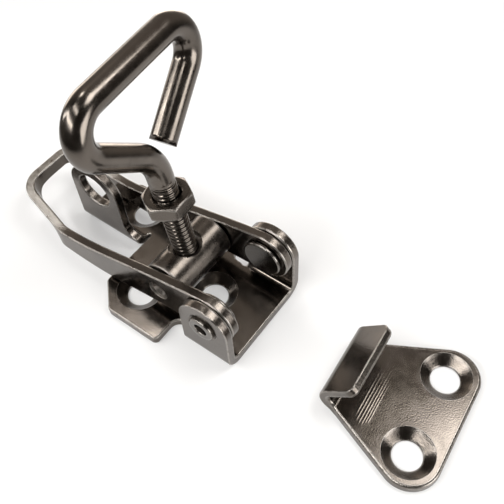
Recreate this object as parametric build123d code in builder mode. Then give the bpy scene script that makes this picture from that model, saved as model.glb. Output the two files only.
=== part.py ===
"""Over-centre toggle latch with its keeper, in millimetres.

Frame: +Z up, +X towards the keeper, z = 0 is the mounting face under both plates.
The origin lies on that face, on the centre line, straight under the lever's pivot axis.
At rest the lever lies closed on its plate and the hook bolt stands up, off the keeper.
"""
from build123d import *
from math import atan2, cos, radians, sin, tan
import os

os.makedirs("parts", exist_ok=True)

# ---- stock and fits -------------------------------------------------------------------
sheet = 2.5              # base plate and keeper sheet
bend_inside = 1.75       # inside radius of the base plate's folds
bend_outside = bend_inside + sheet
running_fit = 0.05       # radial clearance of pins and threads that turn
side_gap = 0.20          # free space between faces that slide past each other

# ---- countersunk screw holes -----------------------------------------------------------
screw_hole = 7.2
screw_sink = 12.4
sink_angle = 100

# ---- base plate ------------------------------------------------------------------------
base_width = 30.0        # over the outer faces of the two ears
ear_radius = 7.2
pivot_height = 14.4      # height of the lever's pivot axis
foot_reach = 20.0        # centre line to the near foot's outer edge
tongue_reach = 17.5      # centre line to the far half's outer edge
foot_start = -12.6       # where the feet begin, left of the ears
foot_end = -35.4         # left end of the near half
tongue_end = -56.6       # left end of the far half
corner_cut = 6.6         # 45 degree cut on the two outer corners
notch_edge = 11.6        # edge of the floor between ear and foot
notch_radius = 2.8
foot_corner = 1.2
channel_hole_x = -9.3
foot_hole = (-25.9, -10.65)
tongue_hole = (-42.4, 10.65)

# ---- locking tab on the centre line -------------------------------------------------------
tab_radius = 8.2
tab_hole_height = 17.1
tab_hole = 10.4

# ---- lever -----------------------------------------------------------------------------
lever_stock = 2.5
lever_eye = 7.0          # radius of the arm end around the pivot
lever_end = -71.9        # outer face of the handle's closed end
near_bend_x = -52.0      # where the near arm turns inwards
near_turn = 13.0         # degrees it turns
arm_bend_radius = 9.0
handle_near_corner = 6.5
handle_far_corner = 4.0
# side view of the strip, from the eye to the handle's end
lever_top = [(-17.8, 17.4), (-34.0, 13.0), (-50.0, 10.2), (-60.0, 11.1), (-75.0, 12.7)]
lever_under = [(-75.0, 9.8), (-62.0, 5.2), (-50.0, 3.3), (-34.0, 3.5), (-17.8, 6.2)]
eye_blend = 12.0         # degrees round the eye where the arm's edges leave it

# ---- rivets, barrel, hook bolt, nut ---------------------------------------------------------
rivet_shank = 6.0
rivet_head = 10.8
rivet_head_thick = 1.1
rivet_sink = 8.6         # mouth of the recess in the ear's outer face
sink_depth = 1.3         # depth of that recess
rivet_tail = 7.0
rivet_tail_proud = 0.9
rivet_bore = 3.6
barrel_x = -16.3
barrel_z = 12.4
barrel_diameter = 13.2
barrel_pin = 5.6
barrel_flat = 5.2        # barrel axis to the milled flat
barrel_recess = 8.6
barrel_recess_depth = 1.3
pin_recess = 7.0         # mouth of the sink in the arm round the pin
pin_recess_depth = 0.7
pin_below = 0.4          # pin end below the arm's outer face
pin_dish = 3.8           # hollow in the pin's end
pin_dish_depth = 0.6
barrel_gap = 0.3         # barrel shoulder to the arm's inner face
head_gap = 0.1           # rivet head to the arm's inner face
head_rounding = 0.4
rivet_bore_depth = 2.4
thread_chamfer = 0.7
end_chamfer = 0.4
rod = 6.35               # 1/4 in rod
hook_lean = 9.2          # degrees from upright, towards the handle
hook_turn = 5.9          # degrees the loop is turned about the stem
stem_tail = 7.4          # barrel axis to the threaded end
stem_length = 34.1       # barrel axis to the apex of the first bend
loop_rise = 23.0         # apex to the crossbar's axis
loop_near = 27.5         # stem's axis to the crossbar's near corner point
loop_far = 32.3          # stem's axis to its far corner point
stem_bend = 10.9
corner_bend = 6.3
loop_gap = 1.4           # free end to the first bend
loop_aim = 3.1           # the free end points this far beside the apex
nut_flats = 11.11        # 1/4-20 jam nut
nut_height = 3.97
nut_start = 19.2         # barrel axis to the nut's lower face

# ---- keeper ---------------------------------------------------------------------------
keeper_x = 52.1
keeper_y = 2.0
keeper_angle = 4.5
keeper_hole_spacing = 21.8
keeper_front = 8.1       # hole line to the straight outer edge
keeper_back = 23.4       # hole line to the back of the fold
keeper_corner = 7.4
lip_half = 10.0
keeper_flare = 24.5      # degrees the sides open from the lip to the holes
flare_back = 20.3        # hole line to where the sides begin to open
lip_bend = 5.0           # outside radius of the lip's fold
lip_angle = 46.0
lip_length = 8.6
lip_corner = 2.0

# ======== base plate =======================================================================
ear_outer = base_width / 2
ear_inner = ear_outer - sheet
fold_line = ear_outer - bend_outside


def half_floor(side, reach, end):
    """Outline of one half of the floor, from the centre line to its outer edge."""
    return [
        (ear_radius, 0),
        (ear_radius, side * fold_line),
        (-ear_radius, side * fold_line),
        (-ear_radius, side * notch_edge),
        (foot_start, side * notch_edge),
        (foot_start, side * reach),
        (end + corner_cut, side * reach),
        (end, side * (reach - corner_cut)),
        (end, 0),
    ]


def is_at(vertex, x, y):
    return abs(vertex.X - x) < 0.01 and abs(vertex.Y - y) < 0.01


with BuildPart() as base_plate:
    # near half, with the foot
    with BuildSketch() as near_floor:
        with BuildLine():
            Polyline(*half_floor(-1, foot_reach, foot_end), close=True)
        make_face()
        inner = [v for v in near_floor.vertices() if is_at(v, foot_start, -notch_edge)]
        fillet(inner, radius=notch_radius)
        outer = [v for v in near_floor.vertices() if is_at(v, foot_start, -foot_reach)]
        fillet(outer, radius=foot_corner)
        cut = [v for v in near_floor.vertices() if v.Y < -1 and v.X < foot_end + corner_cut + 0.01]
        fillet(cut, radius=foot_corner)
    extrude(amount=sheet)
    # far half, which runs on as the tongue
    with BuildSketch() as far_floor:
        with BuildLine():
            Polyline(*half_floor(1, tongue_reach, tongue_end), close=True)
        make_face()
        with BuildLine():
            Polyline(
                (tongue_end, 0),
                (foot_end, 0),
                (foot_end, bend_outside),
                (tongue_end, bend_outside),
                close=True,
            )
        make_face(mode=Mode.SUBTRACT)
        inner = [v for v in far_floor.vertices() if is_at(v, foot_start, notch_edge)]
        fillet(inner, radius=notch_radius)
        outer = [v for v in far_floor.vertices() if is_at(v, foot_start, tongue_reach)]
        fillet(outer, radius=foot_corner)
        tongue_left = tongue_end + corner_cut + 0.01
        cut = [v for v in far_floor.vertices() if v.Y > bend_outside + 1 and v.X < tongue_left]
        fillet(cut, radius=foot_corner)
    extrude(amount=sheet)
    # the two ears: a fold, then a round-topped wall with the rivet hole
    for side in (-1, 1):
        with BuildSketch(Plane.YZ.offset(-ear_radius)) as ear_fold:
            with Locations((side * fold_line, bend_outside)):
                Circle(bend_outside)
                Circle(bend_inside, mode=Mode.SUBTRACT)
                with Locations((side * bend_outside, -bend_outside)):
                    Rectangle(2 * bend_outside, 2 * bend_outside, mode=Mode.INTERSECT)
        extrude(amount=2 * ear_radius)
        with BuildSketch(Plane.XZ.offset(-side * ear_inner)) as ear_wall:
            with Locations((0, pivot_height)):
                Circle(ear_radius)
            with Locations((0, (pivot_height + bend_outside) / 2)):
                Rectangle(2 * ear_radius, pivot_height - bend_outside)
            with Locations((0, pivot_height)):
                Circle(rivet_shank / 2, mode=Mode.SUBTRACT)
        extrude(amount=-side * sheet)
        with Locations(Plane((0, side * ear_outer, pivot_height), z_dir=(0, side, 0))):
            Cone(
                rivet_shank / 2,
                rivet_sink / 2,
                sink_depth,
                align=(Align.CENTER, Align.CENTER, Align.MAX),
                mode=Mode.SUBTRACT,
            )
    # locking tab, folded up on the centre line from the tongue's near edge
    tab_x = tongue_end + tab_radius
    tab_right = tab_x + tab_radius
    with BuildSketch(Plane.YZ.offset(tongue_end)) as tab_fold:
        with Locations((bend_outside, bend_outside)):
            Circle(bend_outside)
            Circle(bend_inside, mode=Mode.SUBTRACT)
            with Locations((-bend_outside, -bend_outside)):
                Rectangle(2 * bend_outside, 2 * bend_outside, mode=Mode.INTERSECT)
    extrude(amount=foot_end - tongue_end)
    tab_sweep = foot_end - tab_right
    with BuildSketch(Plane.XZ.offset(-sheet)) as tab_wall:
        with Locations((tab_x, tab_hole_height)):
            Circle(tab_radius)
        with Locations((tab_x, (bend_outside + tab_hole_height) / 2)):
            Rectangle(2 * tab_radius, tab_hole_height - bend_outside)
        with Locations((tab_right + tab_sweep / 2, bend_outside + tab_sweep / 2)):
            Rectangle(tab_sweep, tab_sweep)
        with Locations((foot_end, bend_outside + tab_sweep)):
            Circle(tab_sweep, mode=Mode.SUBTRACT)
        with Locations((tab_x, tab_hole_height)):
            Circle(tab_hole / 2, mode=Mode.SUBTRACT)
    extrude(amount=sheet)
    # three countersunk screw holes
    with Locations(
        (channel_hole_x, 0, sheet),
        (foot_hole[0], foot_hole[1], sheet),
        (tongue_hole[0], tongue_hole[1], sheet),
    ):
        CounterSinkHole(screw_hole / 2, screw_sink / 2, depth=sheet, counter_sink_angle=sink_angle)
base_plate.part.label = "base_plate"

# ======== lever ============================================================================
arm_outer = ear_inner - side_gap
arm_inner = arm_outer - lever_stock
arm_middle = arm_outer - lever_stock / 2
handle_x = lever_end + lever_stock / 2
corner_y = arm_middle - (near_bend_x - handle_x) * tan(radians(near_turn))

with BuildPart() as lever:
    # the strip on edge, seen from above: near arm, handle, far arm
    with BuildSketch() as strip:
        with BuildLine():
            FilletPolyline(
                (lever_eye, -arm_middle),
                (near_bend_x, -arm_middle),
                (handle_x, -corner_y),
                (handle_x, arm_middle),
                (lever_eye, arm_middle),
                radius=[arm_bend_radius, handle_near_corner, handle_far_corner],
            )
        trace(line_width=lever_stock)
    extrude(amount=2 * pivot_height)
    # its outline from the side, with the round eye
    with BuildSketch(Plane.XZ) as side_view:
        with BuildLine():
            leave_x = -lever_eye * sin(radians(eye_blend))
            leave_z = lever_eye * cos(radians(eye_blend))
            Spline((leave_x, pivot_height + leave_z), *lever_top)
            Line(lever_top[-1], lever_under[0])
            Spline(*lever_under, (leave_x, pivot_height - leave_z))
            Line((leave_x, pivot_height - leave_z), (leave_x, pivot_height + leave_z))
        make_face()
        with Locations((0, pivot_height)):
            Circle(lever_eye)
            Circle(rivet_shank / 2 + running_fit, mode=Mode.SUBTRACT)
        with Locations((barrel_x, barrel_z)):
            Circle(barrel_pin / 2 + running_fit, mode=Mode.SUBTRACT)
    extrude(amount=base_width, both=True, mode=Mode.INTERSECT)
    # shallow sinks for the barrel's pin ends
    for side in (-1, 1):
        with Locations(Plane((barrel_x, side * arm_outer, barrel_z), z_dir=(0, side, 0))):
            Cone(
                pin_recess / 2 - pin_recess_depth,
                pin_recess / 2,
                pin_recess_depth,
                align=(Align.CENTER, Align.CENTER, Align.MAX),
                mode=Mode.SUBTRACT,
            )
lever.part.label = "lever"

# ======== rivets that carry the lever =========================================================
rivets = {}
for side, rivet_name in ((-1, "near_rivet"), (1, "far_rivet")):
    head_outside = arm_inner - head_gap
    tail_end = ear_outer + rivet_tail_proud
    with BuildPart() as rivet:
        with BuildSketch(Plane.XY) as rivet_half:
            with BuildLine():
                Polyline(
                    (0, head_outside - rivet_head_thick),
                    (rivet_head / 2, head_outside - rivet_head_thick),
                    (rivet_head / 2, head_outside),
                    (rivet_shank / 2, head_outside),
                    (rivet_shank / 2, ear_outer - sink_depth),
                    (rivet_tail / 2, ear_outer - sink_depth / 3),
                    (rivet_tail / 2, tail_end),
                    (rivet_bore / 2, tail_end),
                    (rivet_bore / 2, tail_end - rivet_bore_depth),
                    (0, tail_end - rivet_bore_depth - rivet_bore / 4),
                    close=True,
                )
            make_face()
            rims = [v for v in rivet_half.vertices() if v.X > rivet_head / 2 - 0.01]
            rims += [v for v in rivet_half.vertices() if v.X > 1 and v.Y > tail_end - 0.01]
            fillet(rims, radius=head_rounding)
        revolve(axis=Axis.Y)
    placed = Pos(0, 0, pivot_height) * rivet.part
    rivets[rivet_name] = placed if side > 0 else placed.mirror(Plane.XZ)
    rivets[rivet_name].label = rivet_name

# ======== barrel that the hook bolt screws into ==================================================
lean = radians(hook_lean)
stem_dir = Vector(-sin(lean), 0, cos(lean))
barrel_half = arm_inner - barrel_gap
barrel_centre = Vector(barrel_x, 0, barrel_z)

with BuildPart() as barrel:
    with BuildSketch(Plane.XZ.offset(-barrel_half)):
        with Locations((barrel_x, barrel_z)):
            Circle(barrel_diameter / 2)
    extrude(amount=2 * barrel_half)
    chamfer(barrel.edges().filter_by(GeomType.CIRCLE), length=end_chamfer)
    # milled flat, then the recess and the bolt's hole
    with BuildSketch(Plane(barrel_centre + stem_dir * barrel_flat, x_dir=(0, 1, 0), z_dir=stem_dir)):
        Rectangle(2 * base_width, barrel_diameter)
    extrude(amount=barrel_diameter, mode=Mode.SUBTRACT)
    with BuildSketch(Plane(barrel_centre + stem_dir * barrel_flat, x_dir=(0, 1, 0), z_dir=-stem_dir)):
        Circle(barrel_recess / 2)
    extrude(amount=barrel_recess_depth, mode=Mode.SUBTRACT)
    with BuildSketch(Plane(barrel_centre, x_dir=(0, 1, 0), z_dir=stem_dir)):
        Circle(rod / 2 + running_fit)
    extrude(amount=barrel_diameter, both=True, mode=Mode.SUBTRACT)
    # pins in the arms, with dished ends
    for side in (-1, 1):
        with BuildSketch(Plane((barrel_x, side * barrel_half, barrel_z), z_dir=(0, side, 0))):
            Circle(barrel_pin / 2)
        extrude(amount=arm_outer - pin_below - barrel_half)
        pin_end = Vector(barrel_x, side * (arm_outer - pin_below), barrel_z)
        with Locations(Plane(pin_end, z_dir=(0, side, 0))):
            Cone(
                pin_dish / 2 - pin_dish_depth,
                pin_dish / 2,
                pin_dish_depth,
                align=(Align.CENTER, Align.CENTER, Align.MAX),
                mode=Mode.SUBTRACT,
            )
barrel.part.label = "barrel"

# ======== hook bolt: threaded stem and three-sided loop ============================================
turn = radians(hook_turn)
forward = Vector(-cos(lean), 0, -sin(lean))
across = Vector(0, cos(turn), 0) + forward * sin(turn)
hook_plane = Plane(barrel_centre, x_dir=across, z_dir=across.cross(stem_dir))

crossbar = stem_length + loop_rise
stem_sweep = atan2(loop_near, loop_rise)     # angle the rod turns in the first bend
free_dir = Vector(loop_far - loop_aim, loop_rise).normalized()
bend_centre = Vector(-stem_bend, -stem_bend * tan(stem_sweep / 2))
bend_face = bend_centre.dot(free_dir) + stem_bend + rod / 2
free_end = Vector(loop_aim, 0) + free_dir * (bend_face + loop_gap - loop_aim * free_dir.X)

with BuildPart() as hook_bolt:
    with BuildLine(hook_plane) as hook_path:
        FilletPolyline(
            (0, -stem_tail),
            (0, stem_length),
            (-loop_near, crossbar),
            (loop_far, crossbar),
            (free_end.X, stem_length + free_end.Y),
            radius=[stem_bend, corner_bend, corner_bend],
        )
    with BuildSketch(Plane(barrel_centre - stem_dir * stem_tail, x_dir=(0, 1, 0), z_dir=stem_dir)):
        Circle(rod / 2)
    sweep(path=hook_path.line)
    ends = hook_bolt.faces().filter_by(GeomType.PLANE).sort_by(Axis.Z)
    chamfer(ends[0].edges(), length=thread_chamfer)
    chamfer(ends[-1].edges(), length=end_chamfer)
hook_bolt.part.label = "hook_bolt"

# ======== lock nut ========================================================================
nut_corner = nut_flats / 2 / cos(radians(30))
nut_bevel = (nut_corner - nut_flats / 2) * tan(radians(30)) * 1.1
nut_plane = Plane(barrel_centre + stem_dir * nut_start, x_dir=(0, 1, 0), z_dir=stem_dir)

with BuildPart() as lock_nut:
    with BuildSketch(nut_plane):
        RegularPolygon(radius=nut_corner, side_count=6)
        Circle(rod / 2 + running_fit, mode=Mode.SUBTRACT)
    extrude(amount=nut_height)
    # turned bevels on both faces
    with BuildSketch(Plane(nut_plane.origin, x_dir=(0, 1, 0), z_dir=nut_plane.y_dir * -1)) as bevels:
        with BuildLine():
            Polyline(
                (0, 0),
                (nut_flats / 2, 0),
                (nut_corner, nut_bevel),
                (nut_corner, nut_height - nut_bevel),
                (nut_flats / 2, nut_height),
                (0, nut_height),
                close=True,
            )
        make_face()
    revolve(axis=Axis(nut_plane.origin, nut_plane.z_dir), mode=Mode.INTERSECT)
lock_nut.part.label = "lock_nut"

# ======== keeper ==========================================================================
swing = radians(keeper_angle)
keeper_plane = Plane((keeper_x, keeper_y, 0), x_dir=(cos(swing), sin(swing), 0), z_dir=(0, 0, 1))
fold_x = lip_bend - keeper_back


def fold_point(turned, radius):
    """Point of the lip's fold, after the sheet has turned so many degrees up from the plate."""
    angle = radians(turned)
    return (fold_x - radius * sin(angle), lip_bend - radius * cos(angle))


lip_rise = radians(lip_angle)
lip_out = (-sin(lip_rise), cos(lip_rise))
lip_start = fold_point(180 - lip_angle, lip_bend)
lip_tip = (lip_start[0] + lip_length * cos(lip_rise), lip_start[1] + lip_length * sin(lip_rise))
lip_edge = (lip_tip[0] - sheet * lip_out[0], lip_tip[1] - sheet * lip_out[1])
front_half = lip_half + (keeper_front + flare_back) * tan(radians(keeper_flare))
keeper_holes = [
    keeper_plane.from_local_coords((0, side * keeper_hole_spacing / 2, sheet)) for side in (-1, 1)
]

with BuildPart() as keeper:
    # outline from above, as high as the fold: it flares from the lip to two round corners
    with BuildSketch(keeper_plane) as plate:
        with BuildLine():
            Polyline(
                (-keeper_back - sheet, -lip_half),
                (-flare_back, -lip_half),
                (keeper_front, -front_half),
                (keeper_front, front_half),
                (-flare_back, lip_half),
                (-keeper_back - sheet, lip_half),
                close=True,
            )
        make_face()
        fillet(plate.vertices().sort_by(Axis.X)[-2:], radius=keeper_corner)
    extrude(amount=lip_bend)
    # section along the centre line: flat plate, then a fold of a quarter turn
    side_plane = Plane(keeper_plane.origin, x_dir=keeper_plane.x_dir, z_dir=-keeper_plane.y_dir)
    with BuildSketch(side_plane) as section:
        with BuildLine():
            ThreePointArc(fold_point(0, lip_bend), fold_point(45, lip_bend), fold_point(90, lip_bend))
            Line(fold_point(90, lip_bend), fold_point(90, lip_bend - sheet))
            ThreePointArc(
                fold_point(90, lip_bend - sheet),
                fold_point(45, lip_bend - sheet),
                fold_point(0, lip_bend - sheet),
            )
            Polyline(
                fold_point(0, lip_bend - sheet),
                (keeper_front, sheet),
                (keeper_front, 0),
                fold_point(0, lip_bend),
            )
        make_face()
    extrude(amount=2 * front_half, both=True, mode=Mode.INTERSECT)
    # the rest of the fold and the lip, which leans back over the plate
    with BuildSketch(side_plane) as lip:
        with BuildLine():
            ThreePointArc(
                fold_point(90, lip_bend),
                fold_point(135 - lip_angle / 2, lip_bend),
                fold_point(180 - lip_angle, lip_bend),
            )
            Polyline(
                fold_point(180 - lip_angle, lip_bend),
                lip_tip,
                lip_edge,
                fold_point(180 - lip_angle, lip_bend - sheet),
            )
            ThreePointArc(
                fold_point(180 - lip_angle, lip_bend - sheet),
                fold_point(135 - lip_angle / 2, lip_bend - sheet),
                fold_point(90, lip_bend - sheet),
            )
            Line(fold_point(90, lip_bend - sheet), fold_point(90, lip_bend))
        make_face()
    extrude(amount=lip_half, both=True)
    tip_direction = side_plane.from_local_coords(lip_out) - side_plane.origin
    tip_edges = keeper.edges().filter_by(Axis((0, 0, 0), tip_direction)).sort_by(Axis.Z)[-2:]
    fillet(tip_edges, radius=lip_corner)
    with Locations(*keeper_holes):
        CounterSinkHole(screw_hole / 2, screw_sink / 2, depth=sheet, counter_sink_angle=sink_angle)
keeper.part.label = "keeper"

# ======== files ============================================================================
parts = {
    "base_plate": base_plate.part,
    "lever": lever.part,
    "barrel": barrel.part,
    "hook_bolt": hook_bolt.part,
    "lock_nut": lock_nut.part,
    "keeper": keeper.part,
    **rivets,
}
for name, part in parts.items():
    export_step(part, f"parts/{name}.step")
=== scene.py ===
"""Over centre toggle latch and keeper, dressed in dark, warm nickel plate.

Every piece is built in millimetres in the frame of the CAD model and written in metres.
Sheet pieces are cut flat, given their stamped edges, and then folded into place.
"""

import math

import bmesh
import bpy
import numpy as np
from mathutils import Matrix, Quaternion, Vector, noise


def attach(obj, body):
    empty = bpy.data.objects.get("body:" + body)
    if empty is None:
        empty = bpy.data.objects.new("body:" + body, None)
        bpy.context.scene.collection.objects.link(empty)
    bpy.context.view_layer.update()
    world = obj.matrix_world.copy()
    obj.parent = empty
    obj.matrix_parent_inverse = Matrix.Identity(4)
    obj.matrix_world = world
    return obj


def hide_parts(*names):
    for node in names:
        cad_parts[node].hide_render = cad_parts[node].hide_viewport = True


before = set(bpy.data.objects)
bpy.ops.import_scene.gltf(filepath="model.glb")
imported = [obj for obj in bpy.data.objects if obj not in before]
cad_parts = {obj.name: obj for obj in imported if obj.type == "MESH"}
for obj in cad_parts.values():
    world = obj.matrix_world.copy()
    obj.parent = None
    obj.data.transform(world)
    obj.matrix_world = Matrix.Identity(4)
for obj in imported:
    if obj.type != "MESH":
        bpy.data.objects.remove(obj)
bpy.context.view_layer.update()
MM = 0.001

# ---- sizes in millimetres ------------------------------------
# base plate; the sizes are those of the CAD model, but for the barrel's radius
SHEET = 2.5                  # thickness of the base plate, the keeper and the lever
BEND_IN = 1.75
BEND_OUT = BEND_IN + SHEET
PLATE_HALF = 15.0
EAR_R = 7.2
PIVOT_Z = 14.4
FOOT_REACH = 20.0
TONGUE_REACH = 17.5
FOOT_START = -12.6
FOOT_END = -35.4
TONGUE_END = -56.6
CORNER_CUT = 6.6
NOTCH_EDGE = 11.6
NOTCH_START = -9.4
NOTCH_ROUND = 2.6
EAR_RELIEF = 0.9
FOOT_ROUND = 1.4
CUT_ROUND = 2.0
PLATE_EDGE = (0.55, 0.3)     # rounding of the stamped edge, on the top face and on the bottom
TAB_R = 8.2
TAB_HOLE_Z = 17.1
TAB_HOLE_R = 5.2
TAB_HOLE_EDGE = (0.45, 0.45)
TAB_SLIT = 0.7
TAB_SLIT_END = 0.4           # how far the slit runs past the tab's bend
TAB_SLIT_ROUND = 0.34
SCREW_R = 3.6
SINK_R = 6.2
SINK_SLOPE = math.tan(math.radians(50))
FLOOR_HOLES = ((-9.3, 0.0), (-25.9, -10.65), (-42.4, 10.65))
FLAT_STEP = 2.0              # spacing of the cuts across flat stretches
BEND_STEP = 0.3              # and across bends

# lever; its pivot's axis is at x = 0
ARM_OUT = 12.3               # outer face of the arms
ARM_MID = ARM_OUT - SHEET / 2
EYE_R = 7.0
EYE_HOLE_R = 3.05
PIN_HOLE_R = 2.85
LEVER_EDGE = (0.42, 0.42)
HANDLE_X = -71.9 + SHEET / 2
NEAR_BEND_X = -52.0
NEAR_BEND_R = 9.0
NEAR_CORNER_R = 6.5
FAR_CORNER_R = 4.0
NEAR_TURN = math.radians(13.0)      # the near arm turns in by this beyond its bend
ARM_TOP = ((-17.8, 17.4), (-34.0, 13.0), (-50.0, 10.2), (-60.0, 11.1), (-75.0, 12.7))
ARM_UNDER = ((-75.0, 9.8), (-62.0, 5.2), (-50.0, 3.3), (-34.0, 3.5), (-17.8, 6.2))
EYE_BLEND = math.radians(12.0)      # where the arm's edges leave the circle of the eye
HANDLE_TILT = 1.2            # how far the handle's lower edge stands out,
HANDLE_TILT_DEPTH = 6.5      # so far below its top edge
HANDLE_TILT_IN = 6.0         # length beyond the near bend over which the tilt comes in
HANDLE_TILT_OUT = (2.0, 8.0) # y where it is gone, and the width over which it fades
HANDLE_RUB_AND_HIGHLIGHT_FROM = (-50.5, 3.0) # the top edge is rubbed pale, also as a painted highlight, beyond this x, coming in over 3 mm
HANDLE_RUB_AND_HIGHLIGHT = 1.2
HANDLE_STEP = 0.45

# rivets, with distances outward from the middle plane
RIVET_R = 3.0
RIVET_HEAD_R = 5.4
RIVET_INNER = 8.6
RIVET_SHOULDER = 9.7
RIVET_SINK = 13.7
RIVET_SINK_END = 14.55
RIVET_END_R = 3.5
RIVET_TIP = 15.9
RIVET_DISH_R = 1.8
RIVET_DISH_FOOT = (1.65, 13.6)
RIVET_DISH_FLOOR = 13.1

# barrel, hook bolt and nut; heights along the stem are from the barrel's axis
BARREL_X = -16.3
BARREL_Z = 12.4
BARREL_R = 6.05              # plain round; the CAD model's is 6.6 with a flat at 5.2
BARREL_GAP = 0.3
PIN_R = 2.8
PIN_BELOW = 0.4
DISH_R = 1.9
DISH_DEEP = 0.6
RECESS_R = 4.4
RECESS_FLOOR = 3.9           # height of the counterbore's floor over the barrel's axis
BORE_R = 3.275
BORE_PAST = 9.0              # reach of the boring tool, past the barrel on both sides
BARREL_STEP = 0.35
ROD_R = 3.175
PITCH = 1.27
LEAN = math.radians(9.2)     # of the stem, toward the handle
TURN = math.radians(5.9)     # of the hook about its stem
THREAD_TOP = 28.0            # end of the thread's run-out
THREAD_DEPTH = 0.36
THREAD_RUN_OUT = 2.2
STEM_TAIL = 7.4
STEM_TAIL_BEVEL = 0.75
STEM_LENGTH = 34.1
LOOP_RISE = 23.0
LOOP_NEAR = 27.5
LOOP_FAR = 32.3
LOOP_AIM = 3.1
LOOP_GAP = 1.4
STEM_BEND = 10.9
CORNER_BEND = 6.3
ROD_COUNT = 64
ROD_END = ((0.12, 0.03), (0.25, 0.13), (0.33, 0.35), (0.34, 1.2))    # (along, inward) of the cut end
NUT_FLAT = 11.11 / 2
NUT_HIGH = 3.97
NUT_START = 19.2
NUT_COUNT = 144
NUT_BEVEL = math.radians(30)
NUT_FACE = 0.97              # radius of the flat face, as a share of NUT_FLAT
NUT_ROUND = 1.135            # radius from which the corners are rounded, as a share of NUT_FLAT
NUT_FACE_EDGE = 0.03
NUT_EDGE = (0.06, 0.08)      # rounding between bevel and side: inward, and down the side
NUT_CLEAR = 0.06
NUT_GROOVE = 0.28
NUT_THREAD_END = 0.55
NUT_LEAD = ((0.34, 0.42), (0.62, 0.08), (0.74, 0.0))    # (outward, deep) of the bore's mouth

# keeper, with distances from the line through its screw holes
KEEPER_X = 52.1
KEEPER_Y = 2.0
KEEPER_TURN = math.radians(4.5)
KEEPER_FRONT = 8.1
KEEPER_BACK = 23.4
KEEPER_HOLE = 10.9
KEEPER_FLARE = math.radians(24.5)
FLARE_BACK = 20.3
KEEPER_CORNER = 7.4
KEEPER_EDGE = (0.95, 0.3)
KEEPER_STEP = 1.5
LIP_HALF = 10.0
LIP_BEND = 5.0
LIP_RISE = math.radians(46.0)
LIP_LENGTH = 8.6
LIP_CORNER = 2.0
LIP_ROOT_ROUND = 2.5
LIP_STEP = 0.22
WITNESS_STARTS = (4.2, 4.9, 5.65, 6.35, 6.95, 7.5)
WITNESS_SPANS = ((-9.5, 7.0), (-10.5, 8.0), (-11.0, 7.0), (-11.0, 9.0), (-10.5, 8.0), (-10.0, 5.0))
WITNESS_ENDS = (1.5, 9.0)    # lengths over which a mark starts and fades
WITNESS_SWAY = 0.05
WITNESS_HIGH = 0.018
WITNESS_WIDE = 0.17
WITNESS_ZONE = (0.4, 9.5)    # stretch in front of the fold that is cut finely for the marks
WITNESS_STEP = 0.1


# ---- mesh helpers --------------------------------------------
def share(value):
    """The value, kept between 0 and 1."""
    return min(max(value, 0.0), 1.0)


def carried(place, at, normal):
    """The flat sheet's normal carried along by the folding function place."""
    step = 1e-3
    columns = []
    for axis in range(3):
        move = Vector([step if k == axis else 0.0 for k in range(3)])
        columns.append((place(*(at + move)) - place(*(at - move))) / (2 * step))
    stretch = Matrix(columns)
    if abs(stretch.determinant()) < 0.05:
        return normal
    return (stretch.inverted() @ normal).normalized()


def ripple(bm, normals, height):
    """Lets the sheet swell in and out by a little, as pressed sheet does, with its normals."""
    size = 0.13                  # noise units per millimetre
    reach = 0.05                 # step of the slope's difference
    for vert, normal in zip(bm.verts, normals):
        at = vert.co * size
        slope = Vector()
        for axis in range(3):
            move = Vector([reach if k == axis else 0.0 for k in range(3)])
            slope[axis] = (noise.noise(at + move) - noise.noise(at - move)) / (2 * reach) * size * height
        vert.co += normal * height * noise.noise(at)
        normal -= slope - normal * slope.dot(normal)
        normal.normalize()


def placed(name, data):
    """New object with this data, linked to the scene."""
    item = bpy.data.objects.new(name, data)
    bpy.context.scene.collection.objects.link(item)
    return item


def as_object(name, bm):
    """The bmesh as an object of the scene."""
    mesh = bpy.data.meshes.new(name)
    bm.to_mesh(mesh)
    bm.free()
    return placed(name, mesh)


def finish_piece(name, bm, body, node, place=None, wave=0.0):
    """Writes a bmesh in millimetres as a smooth object on its body, standing for its CAD node.

    A flat sheet brings its own normals in the layer "lie" and is folded by place.
    """
    normals = None
    bmesh.ops.remove_doubles(bm, verts=bm.verts[:], dist=1e-4)
    if place is not None:
        lie = bm.verts.layers.float_vector["lie"]
        normals = [carried(place, vert.co, Vector(vert[lie])) for vert in bm.verts]
        for vert in bm.verts:
            vert.co = place(*vert.co)
        ripple(bm, normals, wave)
        bm.verts.index_update()
        bm.normal_update()
        inward = [f for f in bm.faces if sum(f.normal.dot(normals[v.index]) for v in f.verts) < 0]
        bmesh.ops.reverse_faces(bm, faces=inward)
    else:
        bmesh.ops.recalc_face_normals(bm, faces=bm.faces[:])
    bmesh.ops.scale(bm, vec=(MM, MM, MM), verts=bm.verts[:])
    for face in bm.faces:
        face.smooth = True
    piece = as_object(name, bm)
    if normals:
        piece.data.normals_split_custom_set_from_vertices(normals)
    else:
        piece.modifiers.new("weighted", "WEIGHTED_NORMAL").keep_sharp = True
    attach(piece, body)
    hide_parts(node)


def spread(a, b, step):
    """Points from a up to but without b, no further apart than step."""
    a = np.array(a, float)
    b = np.array(b, float)
    count = max(1, math.ceil(np.linalg.norm(b - a) / step))
    return [a + (b - a) * i / count for i in range(count)]


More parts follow.
